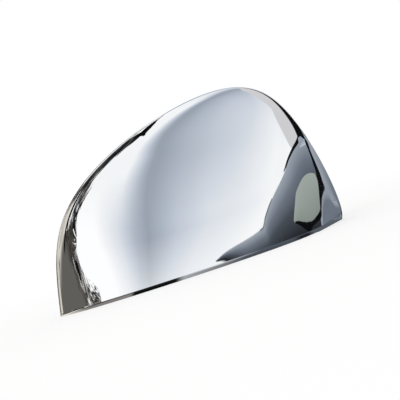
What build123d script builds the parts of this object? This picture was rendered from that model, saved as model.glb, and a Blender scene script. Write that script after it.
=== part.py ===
"""Wing mirror cover: a thin, chrome-plated dome that is taped over a car's mirror housing.

Seen from the front, the lower edge is a straight cut between two pointed tips, and the rim is one
arch over it that is highest well to the right. The frame has +X to the right, the front facing -Y
and the lower edge on z = 0, under the middle of the whole. Sizes are in millimetres.
"""
import os

from build123d import *

# Dome of the moulded shell: tip to tip, lower edge to top and rim to front, and the wall
dome_width = 217.0
dome_height = 117.5
dome_depth = 60.0
wall = 2.4

# Band round the edge of the shell: its depth under the dome, and its reach beyond the rim at the left
# tip, along the left end and elsewhere, where it leans back by so much for each millimetre of reach
edge_depth = 3.0
left_tip_reach = 4.2
left_rim_reach = 3.2
rim_reach = 0.8
rim_lean = 0.7

# Roundings of the band: the share of the wall that each one takes, and the share of a rounding by which
# the band under the dome is set in, which leaves a crisp line between the dome and its band
round_share = 0.35
band_inset = 0.7

# Foam mounting tape inside the shell, with the liner that is peeled off before fitting
tape_width = 9.0
tape_thickness = 1.1
liner_thickness = 0.15
tape_margin = 7.0

# Strips along the rim and the lower edge, placed from the tips and the lower edge. The top strip runs
# from a gap after the left one to its own distance from the right tip.
left_tape_from_tip = 42.0
left_tape_length = 40.0
tape_gap = 11.0
top_tape_from_tip = 52.0
right_tape_above_edge = 24.0
right_tape_length = 60.0
lower_tape_from_tip = 52.0
lower_tape_length = 110.0

# Poles of the rim's and the lower edge's curves, from the left tip to the right tip. The rim's are in
# half widths and heights, the lower edge's in half widths and depths.
rim_poles = ((-1.0, 0.0), (-0.79, 0.92), (-0.17, 0.94), (0.81, 1.256), (1.1, 0.13), (1.0, 0.0))
lower_poles = ((-1.0, 0.0), (-0.75, 0.44), (-0.17, 2.63), (0.71, 1.1), (0.91, 0.25), (1.0, 0.0))
pole_weights = (1.0, 1.8, 0.6, 4.6, 2.2, 1.0)

# Profile of the dome from the lower edge to the rim: the share of a lower pole and of a rim pole in
# each row of the skin. It starts upright and rolls over towards the rim.
profile = ((1.0, 0.0), (0.98, 0.4), (0.5, 0.96), (0.0, 1.0))

# How the inner faces are drawn in for each millimetre of wall: at the sloping ends, and back at the
# rim, where the edge of the wall stands square to the skin
end_draw = 1.3
rim_draw = 0.55


def skin_rows(inset):
    """Rows of poles of the dome's face, from the lower edge to the rim, drawn in by an inset."""
    half_width = dome_width / 2 - inset * end_draw
    rim_y = inset * rim_draw
    height = dome_height - inset
    depth = dome_depth - inset + rim_y
    last = len(rim_poles) - 1
    columns = []
    for index, (rim, lower) in enumerate(zip(rim_poles, lower_poles)):
        # A column next to a tip lies in one plane with it, so that the skin stays smooth there.
        root = (rim[0] + lower[0]) / 2
        if index <= 1:
            root = rim_poles[0][0]
        if index >= last - 1:
            root = rim_poles[last][0]
        origin = Vector(root * half_width, rim_y, 0)
        to_lower = Vector(lower[0] * half_width, rim_y - lower[1] * depth, 0) - origin
        to_rim = Vector(rim[0] * half_width, rim_y, rim[1] * height) - origin
        columns.append([origin + to_lower * along + to_rim * up for along, up in profile])
    return [list(row) for row in zip(*columns)]


def patch(rows):
    """The smooth face that rows of poles describe."""
    return Face.make_bezier_surface(rows, [list(pole_weights) for _ in rows])


def edge_faces(outer_row, inner_row, reaches, insets):
    """The band between the outlines of two skins: a rounding, a flat and a rounding."""
    columns = []
    for outer, inner, reach, inset in zip(outer_row, inner_row, reaches, insets):
        across = (inner - outer) * round_share
        outer_foot = outer + reach
        inner_foot = inner + reach
        columns.append([
            outer, outer_foot + across * inset, outer_foot + across,
            inner_foot - across, inner_foot - across * inset, inner,
        ])
    rows = [list(row) for row in zip(*columns)]
    return [patch(rows[0:3]), patch(rows[2:4]), patch(rows[3:6])]


def moulded_shell():
    """The shell: two skins, closed by a band that meets itself in a mitre at each tip."""
    outer = skin_rows(0.0)
    inner = skin_rows(wall)
    last = len(rim_poles) - 1
    below = [Vector(0, 0, -edge_depth) for _ in rim_poles]
    reaches = [left_tip_reach, left_rim_reach] + [rim_reach] * (last - 1)
    beyond = [Vector(x, rim_lean, z) * reach for (x, z), reach in zip(rim_poles, reaches)]
    for tip in (0, last):
        mitre = below[tip] + beyond[tip]
        below[tip] = mitre
        beyond[tip] = mitre
    lower_insets = [0.0] + [band_inset] * (last - 1) + [0.0]
    rim_insets = [0.0 for _ in rim_poles]
    lower_edge = edge_faces(outer[0], inner[0], below, lower_insets)
    rim = edge_faces(outer[-1], inner[-1], beyond, rim_insets)
    # The flat that the cover stands on is a true plane.
    outer_round, sole, inner_round = lower_edge
    sole = Face(Wire(sole.edges()))
    return Solid(Shell([patch(outer), patch(inner), outer_round, sole, inner_round, *rim]))


def layer(outer_inset, inner_inset):
    """The solid between two skins inside the dome, from which strips of tape are cut."""
    outer = skin_rows(outer_inset)
    inner = skin_rows(inner_inset)
    lower_edge = patch([outer[0], inner[0]])
    rim = patch([outer[-1], inner[-1]])
    return Solid(Shell([patch(outer), patch(inner), lower_edge, rim]))


def block(x_span, y_span, z_span):
    """A box between two values on each axis."""
    spans = (x_span, y_span, z_span)
    middle = [(low + high) / 2 for low, high in spans]
    size = [high - low for low, high in spans]
    return Pos(*middle) * Box(*size)


def tape_blocks():
    """The place of each strip of tape, as the box that cuts it from a layer."""
    half_width = dome_width / 2
    rim_band = (-tape_margin - tape_width, -tape_margin)
    lower_band = (tape_margin, tape_margin + tape_width)
    left_start = left_tape_from_tip - half_width
    left_end = left_start + left_tape_length
    top_end = half_width - top_tape_from_tip
    lower_start = lower_tape_from_tip - half_width
    right_span = (right_tape_above_edge, right_tape_above_edge + right_tape_length)
    return {
        "left": block((left_start, left_end), rim_band, (0, dome_height)),
        "top": block((left_end + tape_gap, top_end), rim_band, (0, dome_height)),
        "right": block((0, dome_width), rim_band, right_span),
        "lower": block((lower_start, lower_start + lower_tape_length), (-dome_depth, 0), lower_band),
    }


parts = {"cover_shell": moulded_shell()}
tape_face = wall + tape_thickness
foam = layer(wall, tape_face)
liner = layer(tape_face, tape_face + liner_thickness)
for place, cutter in tape_blocks().items():
    parts[f"foam_tape_{place}"] = foam & cutter
    parts[f"tape_liner_{place}"] = liner & cutter

os.makedirs("parts", exist_ok=True)
middle = parts["cover_shell"].bounding_box().center()
for name, shape in parts.items():
    placed = Pos(-middle.X, -middle.Y, edge_depth) * shape
    export_step(placed, f"parts/{name}.step")
    print(name, placed.is_valid, len(placed.solids()), round(placed.volume, 1), placed.bounding_box())
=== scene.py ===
# %% [markdown]
# # A chrome wing mirror cover
#
# The cover is a thin dome of ABS plastic, plated with bright chrome, that is taped over the housing of
# a car's door mirror. A mirror finish shows every flaw of the form under it, so this lesson models the
# dome as one smooth patch, gives it a finish, and then builds the room that it reflects.

# %% Load the frame
import math

import bmesh
import bpy
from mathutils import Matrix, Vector


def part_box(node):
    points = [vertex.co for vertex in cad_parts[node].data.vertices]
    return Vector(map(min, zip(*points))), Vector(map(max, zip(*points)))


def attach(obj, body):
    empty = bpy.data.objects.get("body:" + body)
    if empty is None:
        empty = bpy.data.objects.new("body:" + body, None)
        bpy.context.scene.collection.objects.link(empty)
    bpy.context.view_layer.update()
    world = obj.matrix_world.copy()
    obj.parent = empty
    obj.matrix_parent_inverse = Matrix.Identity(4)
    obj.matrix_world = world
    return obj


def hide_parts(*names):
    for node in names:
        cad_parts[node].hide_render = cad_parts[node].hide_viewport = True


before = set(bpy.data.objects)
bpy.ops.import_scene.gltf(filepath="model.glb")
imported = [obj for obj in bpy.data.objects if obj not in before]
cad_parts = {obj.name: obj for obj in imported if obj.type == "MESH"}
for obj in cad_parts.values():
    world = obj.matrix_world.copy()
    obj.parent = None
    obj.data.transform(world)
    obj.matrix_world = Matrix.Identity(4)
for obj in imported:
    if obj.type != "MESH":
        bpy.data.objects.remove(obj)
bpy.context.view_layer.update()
print("CAD nodes:", sorted(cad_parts))

# %% [markdown]
# ## Three small helpers
#
# Colours are written as they look on a screen, and shaders work with linear light, so one function
# turns a hex value to linear. A new material comes with nodes of its own, so the second one clears them
# away. The third adds a node to a material's tree, sets its inputs and properties and links what feeds
# it. With these, each material below reads as a list of its nodes.

# %% Colours, materials and nodes
def colour(hex_value):
    channels = [int(hex_value[at:at + 2], 16) / 255 for at in (1, 3, 5)]
    return [c / 12.92 if c <= 0.04045 else ((c + 0.055) / 1.055) ** 2.4 for c in channels] + [1.0]


def blank_material(name):
    material = bpy.data.materials.new(name)
    material.use_nodes = True
    material.node_tree.nodes.clear()
    return material, material.node_tree


def add(tree, kind, values=None, links=None, **properties):
    node = tree.nodes.new("ShaderNode" + kind)
    for name, value in properties.items():
        setattr(node, name, value)
    for name, value in (values or {}).items():
        node.inputs[name].default_value = value
    for name, output in (links or {}).items():
        tree.links.new(output, node.inputs[name])
    return node


print("chrome white is linear", [round(c, 3) for c in colour("#F4F5F6")])

# %% [markdown]
# ## The skin of the dome
#
# On a real mould the face of the dome is one polished surface. A subdivided cage could copy it, but a
# cage with few points ripples in a mirror finish. A Bezier patch doesn't: a few poles pull one surface
# into shape, and it has no inner seams at all. Its lower row of poles draws the lower edge, its upper
# row the rim, and the two rows between roll the face over from one to the other. The sizes are in
# millimetres and are those of the solid model, so that both have the same form.

# %% Poles of the skin
MM = 0.001
dome_width, dome_height, dome_depth, wall = 217.0, 117.5, 60.0, 2.4
rim_poles = ((-1.0, 0.0), (-0.79, 0.92), (-0.17, 0.94), (0.81, 1.256), (1.1, 0.13), (1.0, 0.0))
lower_poles = ((-1.0, 0.0), (-0.75, 0.44), (-0.17, 2.63), (0.71, 1.1), (0.91, 0.25), (1.0, 0.0))
pole_weights = (1.0, 1.8, 0.6, 4.6, 2.2, 1.0)
profile = ((1.0, 0.0), (0.98, 0.4), (0.5, 0.96), (0.0, 1.0))
end_draw, rim_draw = 1.3, 0.55


def skin_rows(inset):
    half_width = dome_width / 2 - inset * end_draw
    rim_y = inset * rim_draw
    depth = dome_depth - inset + rim_y
    roots = [(rim[0] + lower[0]) / 2 for rim, lower in zip(rim_poles, lower_poles)]
    roots[:2] = [-1.0, -1.0]
    roots[-2:] = [1.0, 1.0]
    columns = []
    for root, rim, lower in zip(roots, rim_poles, lower_poles):
        origin = Vector((root * half_width, rim_y, 0))
        to_lower = Vector((lower[0] * half_width, rim_y - lower[1] * depth, 0)) - origin
        to_rim = Vector((rim[0] * half_width, rim_y, rim[1] * (dome_height - inset))) - origin
        columns.append([origin + to_lower * along + to_rim * up for along, up in profile])
    return [list(row) for row in zip(*columns)]


outer_rows, inner_rows = skin_rows(0.0), skin_rows(wall)
print("rows of poles in a skin:", len(outer_rows), "with", len(outer_rows[0]), "poles each")

# %% [markdown]
# ## The rounded edge
#
# The cut edge of the shell isn't sharp: the mould leaves a narrow band that turns round the thickness
# of the wall, and the light catches it along the lower edge and at the left end. The band is drawn by
# the same poles, moved down under the lower edge and outwards beyond the rim, so it fits the skin
# exactly. Under the lower edge it is set in a little, which leaves a crisp line, and beyond the rim it
# leans back. At each tip both bands share one column of poles, which makes a mitred corner.

# %% Poles of the edge
edge_depth, left_tip_reach, left_rim_reach, rim_reach = 3.0, 4.2, 3.2, 0.8
rim_lean, round_share, band_inset = 0.7, 0.35, 0.7


def edge_rows(outer_row, inner_row, reaches, insets):
    columns = []
    for outer, inner, reach, inset in zip(outer_row, inner_row, reaches, insets):
        across = (inner - outer) * round_share
        foot, heel = outer + reach, inner + reach
        columns.append([outer, foot + across * inset, foot + across,
                        heel - across, heel - across * inset, inner])
    return [list(row) for row in zip(*columns)]


reach_at = [left_tip_reach, left_rim_reach] + [rim_reach] * 4
below = [Vector((0, 0, -edge_depth)) for _ in rim_poles]
beyond = [Vector((x, rim_lean, z)) * reach for (x, z), reach in zip(rim_poles, reach_at)]
for tip in (0, -1):
    below[tip] = beyond[tip] = below[tip] + beyond[tip]
lower_edge = edge_rows(outer_rows[0], inner_rows[0], below, [0.0] + [band_inset] * 4 + [0.0])
rim_edge = edge_rows(outer_rows[-1], inner_rows[-1], beyond, [0.0] * 6)
print("rows of poles in an edge:", len(lower_edge))

# %% [markdown]
# ## One grid, bent round the whole section
#
# Walking round the wall's section gives eight stretches: up the outer skin, round the rim, down the
# inner skin and round the lower edge. One plain grid is laid along that walk, and each of its points
# is moved to the place that the poles give. Merging the points that meet then closes the loop and the
# tips. The alternative, solidifying one skin, can't give the band or the tapered tips. Three finishes go
# on by stretch: bright chrome, the duller plating of the inside, and a painted cream reflection on the
# front of the lip.

# %% The walk round the section
walk = [
    ("outer skin", outer_rows, 110),
    ("rim rounding", rim_edge[0:3], 8),
    ("rim flat", rim_edge[2:4], 2),
    ("inner rim rounding", rim_edge[3:6], 6),
    ("inner skin", inner_rows[::-1], 60),
    ("inner lower rounding", lower_edge[:2:-1], 6),
    ("sole", lower_edge[3:1:-1], 2),
    ("lower rounding", lower_edge[2::-1], 8),
]
steps_along = 220
steps_around = sum(steps for _, _, steps in walk)


def shares(degree, t):
    return [math.comb(degree, i) * t ** i * (1 - t) ** (degree - i) for i in range(degree + 1)]


def stretch_at(place):
    for name, rows, steps in walk:
        if place <= steps:
            return name, rows, max(place, 0) / steps
        place -= steps
    return name, rows, 1.0


def on_shell(along, place):
    _, rows, up = stretch_at(place)
    pulls = [share * weight for share, weight in zip(shares(5, along), pole_weights)]
    point = Vector((0, 0, 0))
    for row, row_share in zip(rows, shares(len(rows) - 1, up)):
        for pole, pull in zip(row, pulls):
            point += pole * (row_share * pull)
    return point * (MM / sum(pulls))


print("grid:", steps_along, "by", steps_around)

# %% Bend the grid
bright, inside, on_lip = 0, 1, 2
lip_front = 0.3
shell_mesh = bmesh.new()
bmesh.ops.create_grid(shell_mesh, x_segments=steps_along, y_segments=steps_around, size=1.0)
for edge in shell_mesh.edges:
    edge.smooth = not edge.is_boundary
for face in shell_mesh.faces:
    stretch, _, up = stretch_at((face.calc_center_median().y + 1) / 2 * steps_around)
    face.material_index = inside if stretch == "inner skin" else bright
    if stretch == "rim rounding" and up < lip_front:
        face.material_index = on_lip
    face.smooth = True
for vert in shell_mesh.verts:
    along, place = (vert.co.x + 1) / 2, round((vert.co.y + 1) / 2 * steps_around)
    vert.co = on_shell(along, place)
bmesh.ops.remove_doubles(shell_mesh, verts=shell_mesh.verts, dist=0.002 * MM)
bmesh.ops.dissolve_degenerate(shell_mesh, edges=shell_mesh.edges, dist=0.001 * MM)
bmesh.ops.recalc_face_normals(shell_mesh, faces=shell_mesh.faces)
print("open edges:", sum(not edge.is_manifold for edge in shell_mesh.edges))
print("volume in cubic mm:", round(shell_mesh.calc_volume(signed=True) / MM ** 3))

# %% [markdown]
# The grid's outline closes on the crisp line between the dome and its band, so it was marked sharp. So
# are the corners of the band, which turn by more than 35 degrees. All else is shaded smooth. Then the
# mesh is moved onto the solid that it stands for.

# %% Seat the shell on its solid
sharp_turn = math.radians(35)
for edge in shell_mesh.edges:
    edge.smooth = edge.smooth and edge.calc_face_angle(0) < sharp_turn
solid_low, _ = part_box("cover_shell")
mesh_low = Vector([min(vert.co[axis] for vert in shell_mesh.verts) for axis in range(3)])
seat = solid_low - mesh_low
bmesh.ops.translate(shell_mesh, verts=shell_mesh.verts, vec=seat)


def piece(name, mesh):
    data = bpy.data.meshes.new(name)
    mesh.to_mesh(data)
    mesh.free()
    made = bpy.data.objects.new(name, data)
    bpy.context.scene.collection.objects.link(made)
    return made


cover = piece("cover_skin", shell_mesh)
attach(cover, "root")
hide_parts("cover_shell")
cover_size = [round(side / MM, 2) for side in cover.dimensions]
print("cover:", len(cover.data.polygons), "faces, size in mm", cover_size)

# %% [markdown]
# ## Bright chrome on ABS
#
# Decorative chrome is a hair-thin layer of metal over polished nickel. It is a near-perfect mirror
# with a cool tint. What tells it from a computer's perfect mirror is the moulding under it: faint
# waves a couple of centimetres long bend the reflections, and handling leaves patches of thin haze.

# %% Bright chrome plating
chrome, tree = blank_material("bright_chrome_plating")
spot = add(tree, "TexCoord")
haze = add(tree, "TexNoise", {"Scale": 1 / (35 * MM), "Detail": 3.0}, {"Vector": spot.outputs["Object"]})
tint = add(tree, "ValToRGB", None, {"Fac": haze.outputs["Fac"]})
tint.color_ramp.elements[0].color = colour("#F1F3F6")
tint.color_ramp.elements[1].color = colour("#F8F8F7")
gloss = add(tree, "MapRange", {"From Min": 0.35, "From Max": 0.75, "To Min": 0.012, "To Max": 0.05},
            {"Value": haze.outputs["Fac"]})
waves = add(tree, "TexNoise", {"Scale": 1 / (22 * MM), "Detail": 1.0}, {"Vector": spot.outputs["Object"]})
swell = add(tree, "Bump", {"Strength": 0.35, "Distance": 0.05 * MM}, {"Height": waves.outputs["Fac"]})
metal = add(tree, "BsdfPrincipled", {"Metallic": 1.0},
            {"Base Color": tint.outputs["Color"], "Roughness": gloss.outputs["Result"],
             "Normal": swell.outputs["Normal"]})
add(tree, "OutputMaterial", None, {"Surface": metal.outputs["BSDF"]})
cover.data.materials.append(chrome)
print("finish:", chrome.name)

# %% [markdown]
# The inside of the shell goes through the same baths, but its face was never polished. The plating
# follows a fine moulded grain there, so it is the same metal with a dull, greyer sheen. The real grain is
# a few tenths of a millimetre wide. It is drawn a little coarser, so that it still shows.

# %% Plating over the moulded inside
dull, tree = blank_material("dull_plating_inside")
spot = add(tree, "TexCoord")
flow = add(tree, "TexNoise", {"Scale": 1 / (28 * MM), "Detail": 4.0, "Distortion": 1.2},
           {"Vector": spot.outputs["Object"]})
tone = add(tree, "ValToRGB", None, {"Fac": flow.outputs["Fac"]})
tone.color_ramp.elements[0].color = colour("#A9ACB0")
tone.color_ramp.elements[1].color = colour("#C3C5C8")
blur = add(tree, "MapRange", {"From Min": 0.3, "From Max": 0.7, "To Min": 0.24, "To Max": 0.38},
           {"Value": flow.outputs["Fac"]})
grain = add(tree, "TexNoise", {"Scale": 1 / (1.2 * MM), "Detail": 1.0}, {"Vector": spot.outputs["Object"]})
rough = add(tree, "Bump", {"Strength": 0.08, "Distance": 0.03 * MM}, {"Height": grain.outputs["Fac"]})
metal = add(tree, "BsdfPrincipled", {"Metallic": 1.0},
            {"Base Color": tone.outputs["Color"], "Roughness": blur.outputs["Result"],
             "Normal": rough.outputs["Normal"]})
add(tree, "OutputMaterial", None, {"Surface": metal.outputs["BSDF"]})
cover.data.materials.append(dull)
print("finish:", dull.name)

# %% [markdown]
# The front of the lip at the left end gets a painted reflection: it is tinted cream, blurred and made
# less metallic, so that it looks cream under any light. Along the rim this fades into bright chrome. One
# shader does it all: a share that falls from the left tip to the right sets tint, blur and how metallic
# the face is.

# %% Painted cream reflection on the lip
# Painted reflection: towards the left tip the lip is tinted cream, blurred and less metallic; bright chrome
# returns from bright_from.
painted_full_to, bright_from = -98 * MM, -72 * MM
painted_lip_reflection, tree = blank_material("painted_cream_reflection_on_lip")
spot = add(tree, "TexCoord")
side = add(tree, "SeparateXYZ", None, {"Vector": spot.outputs["Object"]})
painted_share = add(tree, "MapRange", {"From Min": painted_full_to, "From Max": bright_from, "To Min": 1.0, "To Max": 0.0},
           {"Value": side.outputs["X"]}, interpolation_type="SMOOTHSTEP")
# The cream tint is a painted reflection, not a colour of the plating.
tint = add(tree, "MixRGB", {"Color1": colour("#F4F5F6"), "Color2": colour("#F3EBDD")},
           {"Fac": painted_share.outputs["Result"]})
blur = add(tree, "MapRange", {"To Min": 0.03, "To Max": 0.36}, {"Value": painted_share.outputs["Result"]})
lip_metallic = add(tree, "MapRange", {"To Min": 1.0, "To Max": 0.45}, {"Value": painted_share.outputs["Result"]})
scuffs = add(tree, "TexNoise", {"Scale": 1 / (1.5 * MM), "Detail": 2.0}, {"Vector": spot.outputs["Object"]})
rough = add(tree, "Bump", {"Strength": 0.15, "Distance": 0.02 * MM}, {"Height": scuffs.outputs["Fac"]})
metal = add(tree, "BsdfPrincipled", None,
            {"Base Color": tint.outputs["Color"], "Metallic": lip_metallic.outputs["Result"],
             "Roughness": blur.outputs["Result"], "Normal": rough.outputs["Normal"]})
add(tree, "OutputMaterial", None, {"Surface": metal.outputs["BSDF"]})
cover.data.materials.append(painted_lip_reflection)
print("finish:", painted_lip_reflection.name)

# %% [markdown]
# ## The mounting tape
#
# Four strips of acrylic foam tape hold the cover on. The foam is a dark closed-cell sheet, about a
# millimetre thick, and matt, because the cut opens its cells. They are drawn half a millimetre wide,
# somewhat coarser than real ones, so that they show. The solids have the right form, so they only get
# their finish.

# %% Closed-cell foam
foam, tree = blank_material("closed_cell_acrylic_foam")
spot = add(tree, "TexCoord")
cells = add(tree, "TexVoronoi", {"Scale": 1 / (0.5 * MM)}, {"Vector": spot.outputs["Object"]})
tone = add(tree, "ValToRGB", None, {"Fac": cells.outputs["Distance"]})
tone.color_ramp.elements[0].color = colour("#2A2B2D")
tone.color_ramp.elements[1].color = colour("#45474A")
pits = add(tree, "Bump", {"Strength": 0.6, "Distance": 0.1 * MM}, {"Height": cells.outputs["Distance"]})
sheet = add(tree, "BsdfPrincipled", {"Roughness": 0.85, "IOR": 1.47},
            {"Base Color": tone.outputs["Color"], "Normal": pits.outputs["Normal"]})
add(tree, "OutputMaterial", None, {"Surface": sheet.outputs["BSDF"]})
print("finish:", foam.name)

# %% [markdown]
# The sticky face is kept under a red film until the cover is fitted. Polyethylene film is smooth and
# has a soft gloss, and lifting and pressing it on leaves shallow creases a few millimetres apart.

# %% Red film
film, tree = blank_material("red_polyethylene_film")
spot = add(tree, "TexCoord")
creases = add(tree, "TexNoise", {"Scale": 1 / (6 * MM), "Detail": 3.0}, {"Vector": spot.outputs["Object"]})
tone = add(tree, "ValToRGB", None, {"Fac": creases.outputs["Fac"]})
tone.color_ramp.elements[0].color = colour("#A81A1E")
tone.color_ramp.elements[1].color = colour("#C92E2C")
folds = add(tree, "Bump", {"Strength": 0.3, "Distance": 0.15 * MM}, {"Height": creases.outputs["Fac"]})
sheet = add(tree, "BsdfPrincipled", {"Roughness": 0.28, "IOR": 1.5},
            {"Base Color": tone.outputs["Color"], "Normal": folds.outputs["Normal"]})
add(tree, "OutputMaterial", None, {"Surface": sheet.outputs["BSDF"]})
for name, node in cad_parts.items():
    if name != "cover_shell":
        node.data.materials.clear()
        node.data.materials.append(foam if name.startswith("foam") else film)
print("tape strips:", sum(name.startswith("foam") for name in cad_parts))

# %% [markdown]
# ## Floor and light
#
# The cover stands on a plain pale floor in soft, even light: a white world gives most of it, and one
# wide lamp from the upper left gives the shadow a direction. To the camera and in the metal the world
# is pure white. Near the cover the floor is mostly its own lit colour and takes the shadow. Further
# off it turns into the backdrop's steady white, so that no horizon shows behind the cover.

# %% Floor
floor_mesh = bmesh.new()
bmesh.ops.create_grid(floor_mesh, x_segments=1, y_segments=1, size=12.0)
floor = piece("floor", floor_mesh)
floor.visible_glossy = False
paper, tree = blank_material("pale_floor")
lit = add(tree, "BsdfDiffuse", {"Color": colour("#FBFBFA")})
steady = add(tree, "Emission", {"Color": colour("#FFFFFF"), "Strength": 1.0})
spot = add(tree, "TexCoord")
away = add(tree, "VectorMath", None, {0: spot.outputs["Object"]}, operation="LENGTH")
whitening = add(tree, "MapRange", {"From Min": 0.12, "From Max": 0.7, "To Min": 0.55, "To Max": 1.0},
                {"Value": away.outputs["Value"]})
ray = add(tree, "LightPath")
seen = add(tree, "Math", None, {0: ray.outputs["Is Camera Ray"], 1: ray.outputs["Is Transmission Ray"]},
           operation="MAXIMUM")
share = add(tree, "Math", None, {0: whitening.outputs["Result"], 1: seen.outputs["Value"]},
            operation="MULTIPLY")
mixed = add(tree, "MixShader", None,
            {"Fac": share.outputs["Value"], 1: lit.outputs["BSDF"], 2: steady.outputs["Emission"]})
add(tree, "OutputMaterial", None, {"Surface": mixed.outputs["Shader"]})
floor.data.materials.append(paper)
print("floor:", paper.name)

# %% World and lamp
scene = bpy.context.scene
scene.view_settings.view_transform = "Standard"
scene.world = bpy.data.worlds.new("white_studio")
scene.world.use_nodes = True
tree = scene.world.node_tree
tree.nodes.clear()
ray = add(tree, "LightPath")
seen = add(tree, "Math", None, {0: ray.outputs["Is Camera Ray"], 1: ray.outputs["Is Glossy Ray"]},
           operation="MAXIMUM")
seen = add(tree, "Math", None, {0: seen.outputs["Value"], 1: ray.outputs["Is Transmission Ray"]},
           operation="MAXIMUM")
level = add(tree, "MapRange", {"To Min": 0.9, "To Max": 1.0}, {"Value": seen.outputs["Value"]})
white = add(tree, "Background", {"Color": colour("#FFFFFF")}, {"Strength": level.outputs["Result"]})
add(tree, "OutputWorld", None, {"Surface": white.outputs["Background"]})

lamp = bpy.data.lights.new("wide_lamp", "AREA")
lamp.size, lamp.energy = 1.4, 6.0
lamp_object = bpy.data.objects.new("wide_lamp", lamp)
lamp_object.location = (-0.9, -1.1, 1.5)
lamp_object.rotation_euler = (-lamp_object.location).to_track_quat("-Z", "Y").to_euler()
lamp_object.visible_glossy = False
scene.collection.objects.link(lamp_object)
print("lamp at", list(lamp_object.location))

# %% [markdown]
# ## Cards for the chrome to reflect
#
# A mirror has no look of its own: what reads as chrome is the room. A photographer of such parts hangs
# cards round the set, and here only the metal sees them. Each card is a grid bent onto a big sphere
# round the cover. Its stations give a bearing, 0 straight behind the camera and positive to the right,
# and the lowest and highest angle above the floor there. A smooth curve runs through the stations.

# %% A card from its stations
def only_in_reflections(made, material):
    made.data.materials.append(material)
    made.visible_camera = made.visible_diffuse = made.visible_shadow = False
    made.visible_transmission = made.visible_volume_scatter = False


def through(stations, place):
    first = min(int(place), len(stations) - 2)
    picked = [min(max(at, 0), len(stations) - 1) for at in range(first - 1, first + 3)]
    before, near, far, after = (Vector(stations[at]) for at in picked)
    t = place - first
    bend = 2 * before - 5 * near + 4 * far - after + (3 * (near - far) + after - before) * t
    return near + (far - before + bend * t) * (t / 2)


def grid_with_map(along, up):
    mesh = bmesh.new()
    mesh.loops.layers.uv.new("along_and_up")
    bmesh.ops.create_grid(mesh, x_segments=along, y_segments=up, size=1.0, calc_uvs=True)
    return mesh


def card(name, distance, stations, material):
    mesh = grid_with_map(10 * (len(stations) - 1), 12)
    for vert in mesh.verts:
        place, up = (vert.co.x + 1) / 2 * (len(stations) - 1), (vert.co.y + 1) / 2
        bearing, low, high = through(stations, place)
        turn, rise = math.radians(bearing), math.radians(low + (high - low) * up)
        level = Vector((math.sin(turn), -math.cos(turn), 0)) * math.cos(rise)
        vert.co = (level + Vector((0, 0, math.sin(rise)))) * distance
    only_in_reflections(piece(name, mesh), material)


print("cards are seen by the metal alone")

# %% [markdown]
# The cards' paint glows by itself, so that it looks the same wherever the card stands. Its colours
# follow the card's own map, up the card or along it, and it can thin out towards the card's foot, so
# that the card has no hard edge on the floor. With a foot of 0 the paint is solid down to the edge. All
# cards are painted from one small stock of tones: cool ones from white over the greys of cloth and slate
# to black, warm ones from cream to umber, and two plain greys.

# %% Stock of tones
tones = {
    "white": "#FFFFFF", "off-white": "#F5F6F7", "pale grey": "#DCE0E6", "cloth grey": "#C4CBD6",
    "dove grey": "#AEB6C2", "fold grey": "#9AA2AE", "light slate": "#A2AAB4", "slate": "#707884",
    "mid slate": "#5A6068", "dark slate": "#4A5058", "deep slate": "#3A4048", "soot": "#1E2024",
    "black": "#0E0F10", "rose grey": "#D6D4D6", "pale sage": "#A4ACA6", "sage": "#8A928C",
    "cream": "#F0EADE", "stone": "#D2CDC4", "dun": "#BAB6B0", "ash": "#86827E",
    "warm grey": "#64625E", "bistre": "#44403A", "umber": "#262422", "chalk": "#CFD1D4",
    "pewter": "#A6A8AA",
}
print("tones in stock:", len(tones))

# %% Paint for the cards
def set_stops(ramp, stops):
    elements = ramp.color_ramp.elements
    while len(elements) > 1:
        elements.remove(elements[-1])
    elements[0].position, elements[0].color = stops[0][0], colour(tones[stops[0][1]])
    for position, tone in stops[1:]:
        elements.new(position).color = colour(tones[tone])


def paint(name, stops, foot=0.0, follows="Y"):
    material, tree = blank_material(name)
    card_map = add(tree, "UVMap", uv_map="along_and_up")
    place = add(tree, "SeparateXYZ", None, {"Vector": card_map.outputs["UV"]})
    shade = add(tree, "ValToRGB", None, {"Fac": place.outputs[follows]})
    set_stops(shade, stops)
    light = add(tree, "Emission", {"Strength": 1.0}, {"Color": shade.outputs["Color"]})
    clear = add(tree, "BsdfTransparent")
    painted = add(tree, "MapRange", {"From Min": -0.001, "From Max": foot}, {"Value": place.outputs["Y"]},
                  interpolation_type="SMOOTHSTEP")
    mixed = add(tree, "MixShader", None,
                {"Fac": painted.outputs["Result"], 1: clear.outputs["BSDF"], 2: light.outputs["Emission"]})
    add(tree, "OutputMaterial", None, {"Surface": mixed.outputs["Shader"]})
    return material


black = paint("black_board", [(0, "black")])
print("paint:", black.name)

# %% [markdown]
# The largest card is a pale cloth overhead. It is white at the left, has one soft blue-grey fold and
# lightens again to the right, which gives the dome its broad, slow shading. The fold hangs in a
# straight line, so the shades follow the distance from it, as seen from above, in shares of the cloth's
# own distance. One ramp shades the hem of the cloth and one its top.

# %% Shades of the cloth
cloth_distance = 6.0
fold_bearing = math.radians(58.7)
fold_side = Vector((math.sin(fold_bearing), -math.cos(fold_bearing), 0))
fold_offset, fold_core, fold_sway = 0.246, 0.07, 0.012
folds_from, folds_to = -0.75, 1.25
hem_folds = [(-0.28, "white"), (-0.12, "pale grey"), (-0.06, "cloth grey"), (-0.01, "dove grey"),
             (0.07, "fold grey"), (0.16, "dove grey"), (0.26, "cloth grey"), (0.45, "pale grey"),
             (1.1, "off-white")]
top_folds = [(-0.08, "off-white"), (-0.035, "pale grey"), (0, "cloth grey"), (0.03, "dove grey"),
             (0.07, "fold grey"), (0.11, "fold grey"), (0.26, "dove grey"), (0.5, "cloth grey"),
             (0.95, "pale grey")]
print("shades:", len(hem_folds), "at the hem and", len(top_folds), "at the top")

# %% [markdown]
# Cloth never hangs quite straight. Slow noise lets the fold sway a little, and near its top the cloth is
# gathered, which shifts the fold. Just above the floor it is pulled aside and gets narrower.

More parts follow.
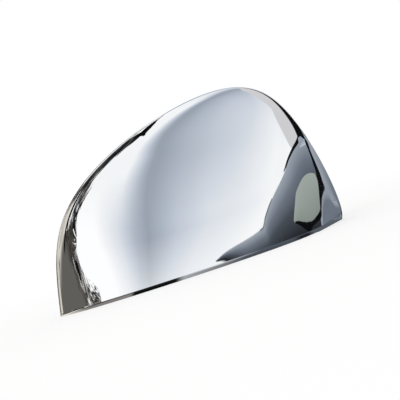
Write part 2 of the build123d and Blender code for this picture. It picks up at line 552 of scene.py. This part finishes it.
# %% Distance from the fold
cloth, tree = blank_material("pale_cloth")
spot = add(tree, "TexCoord")
across = add(tree, "VectorMath", {1: fold_side / cloth_distance}, {0: spot.outputs["Object"]},
             operation="DOT_PRODUCT")
drift = add(tree, "TexNoise", {"Scale": 0.4, "Detail": 2.0}, {"Vector": spot.outputs["Object"]})
sway = add(tree, "MapRange", {"To Min": fold_offset - fold_sway, "To Max": fold_offset + fold_sway},
           {"Value": drift.outputs["Fac"]})
wavy = add(tree, "Math", None, {0: across.outputs["Value"], 1: sway.outputs["Result"]},
           operation="ADD")
height = add(tree, "SeparateXYZ", None, {"Vector": spot.outputs["Object"]})
rise = add(tree, "Math", {1: cloth_distance}, {0: height.outputs["Z"]}, operation="DIVIDE")
gathered = add(tree, "MapRange", {"From Min": 0.88, "From Max": 0.96, "To Max": 0.04},
               {"Value": rise.outputs["Value"]})
drawn = add(tree, "Math", None, {0: wavy.outputs["Value"], 1: gathered.outputs["Result"]},
            operation="ADD")
pulled = add(tree, "MapRange",
             {"From Min": 0.08, "From Max": 0.4, "To Min": 0.04 - fold_core, "To Max": -fold_core},
             {"Value": rise.outputs["Value"]})
off_core = add(tree, "Math", None, {0: drawn.outputs["Value"], 1: pulled.outputs["Result"]},
               operation="ADD")
narrowed = add(tree, "MapRange", {"From Min": 0.08, "From Max": 0.4, "To Min": 1.5, "To Max": 1.0},
               {"Value": rise.outputs["Value"]})
from_fold = add(tree, "Math", {2: fold_core},
                {0: off_core.outputs["Value"], 1: narrowed.outputs["Result"]}, operation="MULTIPLY_ADD")
print("nodes that place the fold:", len(tree.nodes))

# %% [markdown]
# The two ramps are blended by height. Low down the hem pales, as cloth does over a white floor. The cloth
# goes all the way round the cover, so that every side of the dome has something soft to show.

# %% Hang the cloth
place = add(tree, "MapRange", {"From Min": folds_from, "From Max": folds_to},
            {"Value": from_fold.outputs["Value"]})
hem = add(tree, "ValToRGB", None, {"Fac": place.outputs["Result"]})
top = add(tree, "ValToRGB", None, {"Fac": place.outputs["Result"]})
for ramp, folds in ((hem, hem_folds), (top, top_folds)):
    set_stops(ramp, [((off - folds_from) / (folds_to - folds_from), tone) for off, tone in folds])
low = add(tree, "MapRange", {"From Min": 0.03, "From Max": 0.4, "To Min": 0.47, "To Max": 0.0},
          {"Value": rise.outputs["Value"]})
paled = add(tree, "MixRGB", {"Color2": colour("#FFFFFF")},
            {"Fac": low.outputs["Result"], "Color1": hem.outputs["Color"]})
high = add(tree, "MapRange", {"From Min": 0.49, "From Max": 0.82}, {"Value": rise.outputs["Value"]})
blended = add(tree, "MixRGB", None,
              {"Fac": high.outputs["Result"], "Color1": paled.outputs["Color"],
               "Color2": top.outputs["Color"]})
light = add(tree, "Emission", {"Strength": 1.08}, {"Color": blended.outputs["Color"]})
add(tree, "OutputMaterial", None, {"Surface": light.outputs["Emission"]})
card("pale_cloth", cloth_distance, [(bearing, 0, 90) for bearing in range(-180, 181, 45)], cloth)
print("cloth: shades of its hem at", [off for off, _ in hem_folds])

# %% [markdown]
# A slate panel stands low at the right, and the sharp turn of the dome near its right end squeezes it
# into a dark shape. It is darker towards the floor and lightest along its top, where a dark edge sets it
# off from the cloth. Its paint is thin at the foot, so a board behind it keeps the floor's white out of
# the right tip.

# %% Slate panel
slate = paint("slate_board", [(0.42, "soot"), (0.71, "dark slate"), (0.86, "slate"), (1, "light slate")],
              foot=0.35)
card("slate_panel", 5.6, [(-19, 2, 3), (-15, -1, 5.5), (-10, -12, 7), (-4, -26, 8), (5, -26, 9.5),
                          (12, -26, 11), (15, -26, 14), (22, -26, 18), (38, -26, 21.5), (60, -26, 21.5),
                          (90, -26, 18), (120, -26, 12.5), (135, -26, 10.5)], slate)
dark_slate = paint("dark_slate_board", [(0, "deep slate")])
card("slate_edge", 5.5, [(8, 9.6, 10.2), (11.5, 10.4, 11.1), (14.5, 13.2, 14), (18, 15.6, 16.3),
                         (24, 18.4, 19), (31, 20.4, 20.8)], dark_slate)
slate_foot = paint("slate_foot_board", [(0, "mid slate")], foot=0.45)
card("slate_foot", 5.7, [(20, -10, -9), (36, -20, -6), (50, -28, -4), (64, -32, -3), (125, -32, -3)],
     slate_foot)
print("slate panel:", slate.name)

# %% [markdown]
# In front of the panel a pale pane stands on a black sill. A black strip runs along the panel's top and
# another round the far end of the pane. Beyond them the slate is lighter, with a pale cap, and reaches
# round behind the cover, because the lip at the right tip looks that way.

# %% Pane, strips and the lighter slate
pane = paint("pale_pane", [(0, "sage"), (1, "pale sage")])
card("pale_pane", 5.4, [(55, 3, 4), (60, 2, 6), (66, 1.4, 7.8), (78, -0.9, 9.6), (90, -2.8, 8.8),
                        (105, -4.1, 6.8), (118, -4.4, 4.4), (124.4, -4, 2.8)], pane)
card("pane_sill", 5.3, [(57, 2, 3), (66, -0.6, 1.6), (75, -3.6, -0.4), (85, -6, -2.2), (92, -6.2, -2.9),
                        (99, -5.6, -3.8), (112, -5.6, -4.2), (122, -5.8, -4.2), (124.4, -5.2, -3)],
     black)
card("top_strip", 5.4, [(68, 21.2, 21.6), (80, 19.4, 20.4), (90, 17.8, 18.8), (105, 14.6, 15.7),
                        (120, 11.6, 12.8), (134, 10, 11.4)], black)
card("end_strip", 5.3, [(123.2, -5.5, -4.2), (123.6, -5.2, -1.6), (124.2, -4.7, 0.6), (124.8, -4, 2),
                        (125.3, -2.6, 2.6), (125.9, -1.1, 3.2), (126.4, 0.2, 3.9), (127, 1.2, 4.7),
                        (129, 3.3, 6), (131.5, 5.2, 7.3), (135, 6.8, 8.4), (139, 7.2, 8.8),
                        (144, 7.4, 9.4)], black)
pale_slate = paint("pale_slate_board", [(0, "cloth grey"), (0.4, "fold grey")])
card("slate_cap", 5.35, [(121, 10.2, 10.8), (125, 9.5, 11.6), (129, 8.9, 11.6), (133, 8.5, 11),
                         (137.4, 8.2, 9.8)], pale_slate)
end_slate = paint("light_slate_board", [(0.25, "dark slate"), (0.6, "slate"), (0.82, "slate"),
                                        (0.96, "light slate"), (1, "slate")], foot=0.1)
card("slate_end", 5.5, [(122, -32, -5.4), (124.6, -32, -4), (126, -32, 1), (128.5, -32, 4),
                        (131.5, -32, 6.2), (136, -32, 7.6), (142, -32, 8.4), (150, -32, 8.2),
                        (160, -32, 6.4), (172, -32, 4)], end_slate)
print("pane and slate:", pane.name, pale_slate.name, end_slate.name)

# %% [markdown]
# Boards at both sides draw the rim: the face turns so far there that it shows what stands beside and
# behind it. At the right there is a pale board over a black one, which fades into it.

# %% Boards at the right
rose_grey = paint("rose_grey_board", [(0, "rose grey")])
card("rose_grey_board", 5.5, [(102.6, 19, 23), (104.5, 16, 28), (109, 14.5, 31), (116, 13, 33),
                              (120, 12, 42), (130, 11, 46), (150, 10, 46), (166, 10, 30)], rose_grey)
fading_black = paint("fading_black_board", [(0.8, "black"), (0.92, "dark slate"), (1, "dun")])
card("black_board_right", 5.3, [(127.5, 11.4, 12.2), (131, 10.9, 13.6), (134, 10.3, 15.2), (138, 8.9, 18),
                                (144, 8.2, 20.8), (151, 7.6, 23.4), (158, 6.8, 25), (165, 5.6, 24),
                                (170, 4.4, 19), (175, 2, 11)], fading_black)
print("boards at the right:", rose_grey.name, "and", fading_black.name)

# %% [markdown]
# At the left some cards are streaked and torn. Noise that is drawn out, and turned if need be, makes the
# streaks: where it is above a limit the paint is missing. The limit is highest in the middle of the
# card, so that its foot and top are the most torn, and the card's left part can be kept whole.

# %% Torn paint
whole_limit, foot_limit, top_limit = 0.58, 0.38, 0.28


def torn_paint(name, stops, streak_size, tilt, solid):
    material, tree = blank_material(name)
    card_map = add(tree, "UVMap", uv_map="along_and_up")
    place = add(tree, "SeparateXYZ", None, {"Vector": card_map.outputs["UV"]})
    stretched = add(tree, "Mapping", {"Scale": streak_size, "Rotation": (0, 0, math.radians(tilt))},
                    {"Vector": card_map.outputs["UV"]}, vector_type="TEXTURE")
    grain = add(tree, "TexNoise", {"Scale": 1.0, "Detail": 3.0}, {"Vector": stretched.outputs["Vector"]})
    shade = add(tree, "ValToRGB", None, {"Fac": grain.outputs["Fac"]})
    set_stops(shade, stops)
    light = add(tree, "Emission", {"Strength": 1.0}, {"Color": shade.outputs["Color"]})
    foot = add(tree, "MapRange", {"From Max": 0.25, "To Min": foot_limit, "To Max": whole_limit},
               {"Value": place.outputs["Y"]})
    top = add(tree, "MapRange", {"From Min": 0.65, "To Min": whole_limit, "To Max": top_limit},
              {"Value": place.outputs["Y"]})
    hold = add(tree, "Math", None, {0: foot.outputs["Result"], 1: top.outputs["Result"]},
               operation="MINIMUM")
    whole = add(tree, "MapRange", {"From Min": 0.3, "From Max": 0.5, "To Min": solid, "To Max": 0.0},
                {"Value": place.outputs["X"]})
    limit = add(tree, "Math", None, {0: hold.outputs["Value"], 1: whole.outputs["Result"]},
                operation="ADD")
    gap = add(tree, "Math", None, {0: grain.outputs["Fac"], 1: limit.outputs["Value"]},
              operation="SUBTRACT")
    torn = add(tree, "MapRange", {"From Min": -0.03, "From Max": 0.03}, {"Value": gap.outputs["Value"]})
    clear = add(tree, "BsdfTransparent")
    mixed = add(tree, "MixShader", None,
                {"Fac": torn.outputs["Result"], 1: light.outputs["Emission"], 2: clear.outputs["BSDF"]})
    add(tree, "OutputMaterial", None, {"Surface": mixed.outputs["Shader"]})
    return material


streaked = torn_paint("streaked_card", [(0.3, "black"), (0.5, "soot"), (0.62, "warm grey")],
                      (0.2, 0.09, 1.0), 0, 0.3)
torn = torn_paint("torn_card", [(0.3, "black"), (0.5, "bistre"), (0.6, "ash")],
                  (0.035, 0.13, 1.0), 35, 0.0)
frayed = torn_paint("frayed_card", [(0.3, "soot"), (0.5, "bistre"), (0.6, "ash")],
                    (0.6, 0.13, 1.0), -47, 0.0)
print("torn paint:", streaked.name, torn.name, frayed.name)

# %% [markdown]
# A pale card stands behind the left end, and a grey one low beside it makes the broad dark crescent
# along the rim. The streaked card arches over both. A frayed one and a torn one carry its streaks over
# into the white of the cloth.

# %% Cards at the left
pale = paint("pale_card", [(0, "cream"), (0.22, "stone"), (0.6, "dun"), (1, "cream")])
card("pale_card", 5.6, [(-165, 4, 20), (-158, 4, 30), (-146, 4, 34), (-134, 4, 36), (-120, 4, 36),
                        (-110, 4, 31), (-103, 4, 26)], pale)
grey = paint("grey_card", [(0, "cream"), (0.18, "stone"), (0.28, "warm grey")], follows="X")
card("grey_card", 5.5, [(-117, 4, 13), (-111, 4, 20), (-105, 4, 26), (-98, 4, 27), (-93, 4, 24),
                        (-90.5, 4, 19), (-88.5, 4, 15), (-86, 4, 11), (-83, 4, 9), (-81, 4, 7)], grey)
card("streaked_card", 5.4, [(-172, 8, 15), (-169, 14, 26), (-165, 22, 38), (-160, 27, 46.5),
                            (-154, 29, 53), (-146, 31, 57.5), (-138, 33, 59), (-130, 34, 58),
                            (-120, 33, 54), (-110, 29, 51.5), (-102, 24, 49.5), (-95, 19, 47),
                            (-90, 17, 42), (-86, 18, 36), (-83, 21, 29)], streaked)
card("frayed_card", 5.35, [(-132, 40, 49), (-124, 41.5, 51), (-116, 42, 51.5), (-108, 41.5, 51.5),
                           (-101, 39.5, 50), (-95, 36.5, 47), (-90, 34, 42)], frayed)
card("torn_card", 5.3, [(-97, 20, 46), (-94, 16, 43), (-91, 12, 39), (-88, 9, 34), (-85, 6, 27),
                        (-82, 3, 18.5), (-79, 1, 15), (-75, 0, 13.5), (-71, 0, 12.5), (-69, 1, 9)], torn)
print("cards at the left:", pale.name, "and", grey.name)

# %% [markdown]
# Black paper cut into stripes and a small diamond sharpens the streaks, and a thin arch draws the dark
# outline of the rim up to the top. The lip gets two more cards: a dark grey one behind the cover, which
# shows on its outermost rounding as a thin outline, and a cream one at floor level.

# %% Stripes and the cards for the lip
card("diamond", 5.25, [(-87.4, 15, 16.5), (-85.6, 12.2, 16.8), (-84, 12.4, 13.4)], black)
card("long_stripe", 5.3, [(-142, 37, 39), (-130, 37.4, 41.2), (-120, 35.6, 40.6), (-113, 32.2, 38),
                          (-107, 27.8, 33.6), (-102.5, 23.4, 29), (-99, 19, 24.4), (-97, 16.4, 20)],
     black)
card("upright_stripe", 5.3, [(-95.8, 41, 45), (-93.8, 32, 44), (-91.8, 21, 38), (-90.2, 15, 33),
                             (-88.8, 16.5, 30), (-88.2, 20, 27)], black)
card("thin_arch", 5.3, [(-178, 13.5, 16.5), (-175, 22, 27), (-172, 28.5, 34), (-165, 39.5, 46.5),
                        (-157, 47, 54.5), (-150, 54.6, 58.4), (-145, 59, 60.6), (-139, 62.4, 63.1)],
     black)
dark_grey = paint("dark_grey_card", [(0, "umber")], foot=0.3)
card("outline_card", 5.25, [(-176, -12, 10), (-172, -12, 17), (-164, -12, 27), (-157, -12, 34),
                            (-150, -12, 36), (-141, -12, 32), (-133, -12, 27), (-126, -12, 23),
                            (-122, -12, 19), (-117, -12, 16.5), (-112, -12, 15.5), (-109, -4, 14.5),
                            (-107, 7, 13.5)], dark_grey)
cream = paint("cream_card", [(0, "cream")], foot=0.5)
card("cream_card", 5.5, [(-150, -45, 4), (-117, -45, 4), (-84, -45, 4)], cream)
print("cards for the lip:", dark_grey.name, "and", cream.name)

# %% [markdown]
# The band under the lower edge looks down at the floor close by. A mat that follows the edge gives it
# its colours: cream and grey at the left, black before the middle, and slate with one patch of soot to
# the right. It thins out within a few millimetres, like a contact shadow. The top of the band looks a
# little further out, where a border round the mat draws the crisp line between the band and the dome. At
# the left tip the band hardly looks down at all, so a short dark card goes on with that line.

# %% Mat under the edge
def mat(name, nearest, furthest, height, material):
    mesh = grid_with_map(160, 6)
    for vert in mesh.verts:
        along, up = (vert.co.x + 1) / 2, (vert.co.y + 1) / 2
        behind, here, ahead = (on_shell(min(max(along + step, 0), 1), steps_around)
                               for step in (-0.01, 0, 0.01))
        outwards = Vector((ahead.y - behind.y, behind.x - ahead.x, 0)).normalized()
        vert.co = here + seat + outwards * (furthest * (1 - up) + nearest * up)
        vert.co.z = height
    only_in_reflections(piece(name, mesh), material)


mat_paint = paint("mat_under_edge", [(0, "cream"), (0.09, "ash"), (0.2, "ash"), (0.206, "black"),
                                     (0.283, "black"), (0.295, "pewter"), (0.42, "dark slate"),
                                     (0.58, "dark slate"), (0.63, "soot"), (0.69, "soot"),
                                     (0.74, "mid slate")],
                  foot=0.35, follows="X")
mat("mat_under_edge", -1 * MM, 4.4 * MM, 0.3 * MM, mat_paint)
border_paint = paint("mat_border", [(0, "umber"), (0.28, "soot"), (0.3, "chalk"), (0.36, "chalk"),
                                    (0.46, "mid slate")], foot=0.8, follows="X")
mat("mat_border", 3 * MM, 10 * MM, 0.2 * MM, border_paint)
dark_line = paint("dark_line_card", [(0, "umber")], foot=0.5)
card("line_at_tip", 5.3, [(-101, 2, 5.5), (-96, -3, 1.5), (-91, -8, -3), (-86, -13, -8.5)], dark_line)
print("mats:", mat_paint.name, "and", border_paint.name)

# %% [markdown]
# ## Camera
#
# The camera looks straight at the front from a little under the middle of the cover's height. It is
# rolled, so that the lower edge climbs to the right as in the photograph.

# %% Camera
camera_data = bpy.data.cameras.new("camera")
camera_data.sensor_width, camera_data.lens = 36.0, 85.14
camera = bpy.data.objects.new("camera", camera_data)
camera.location = (0.0146, -0.67, 0.04815)
camera.rotation_euler = (math.radians(90), math.radians(19.27), 0)
scene.collection.objects.link(camera)
scene.camera = camera
print("camera at", [round(c, 3) for c in camera.location])
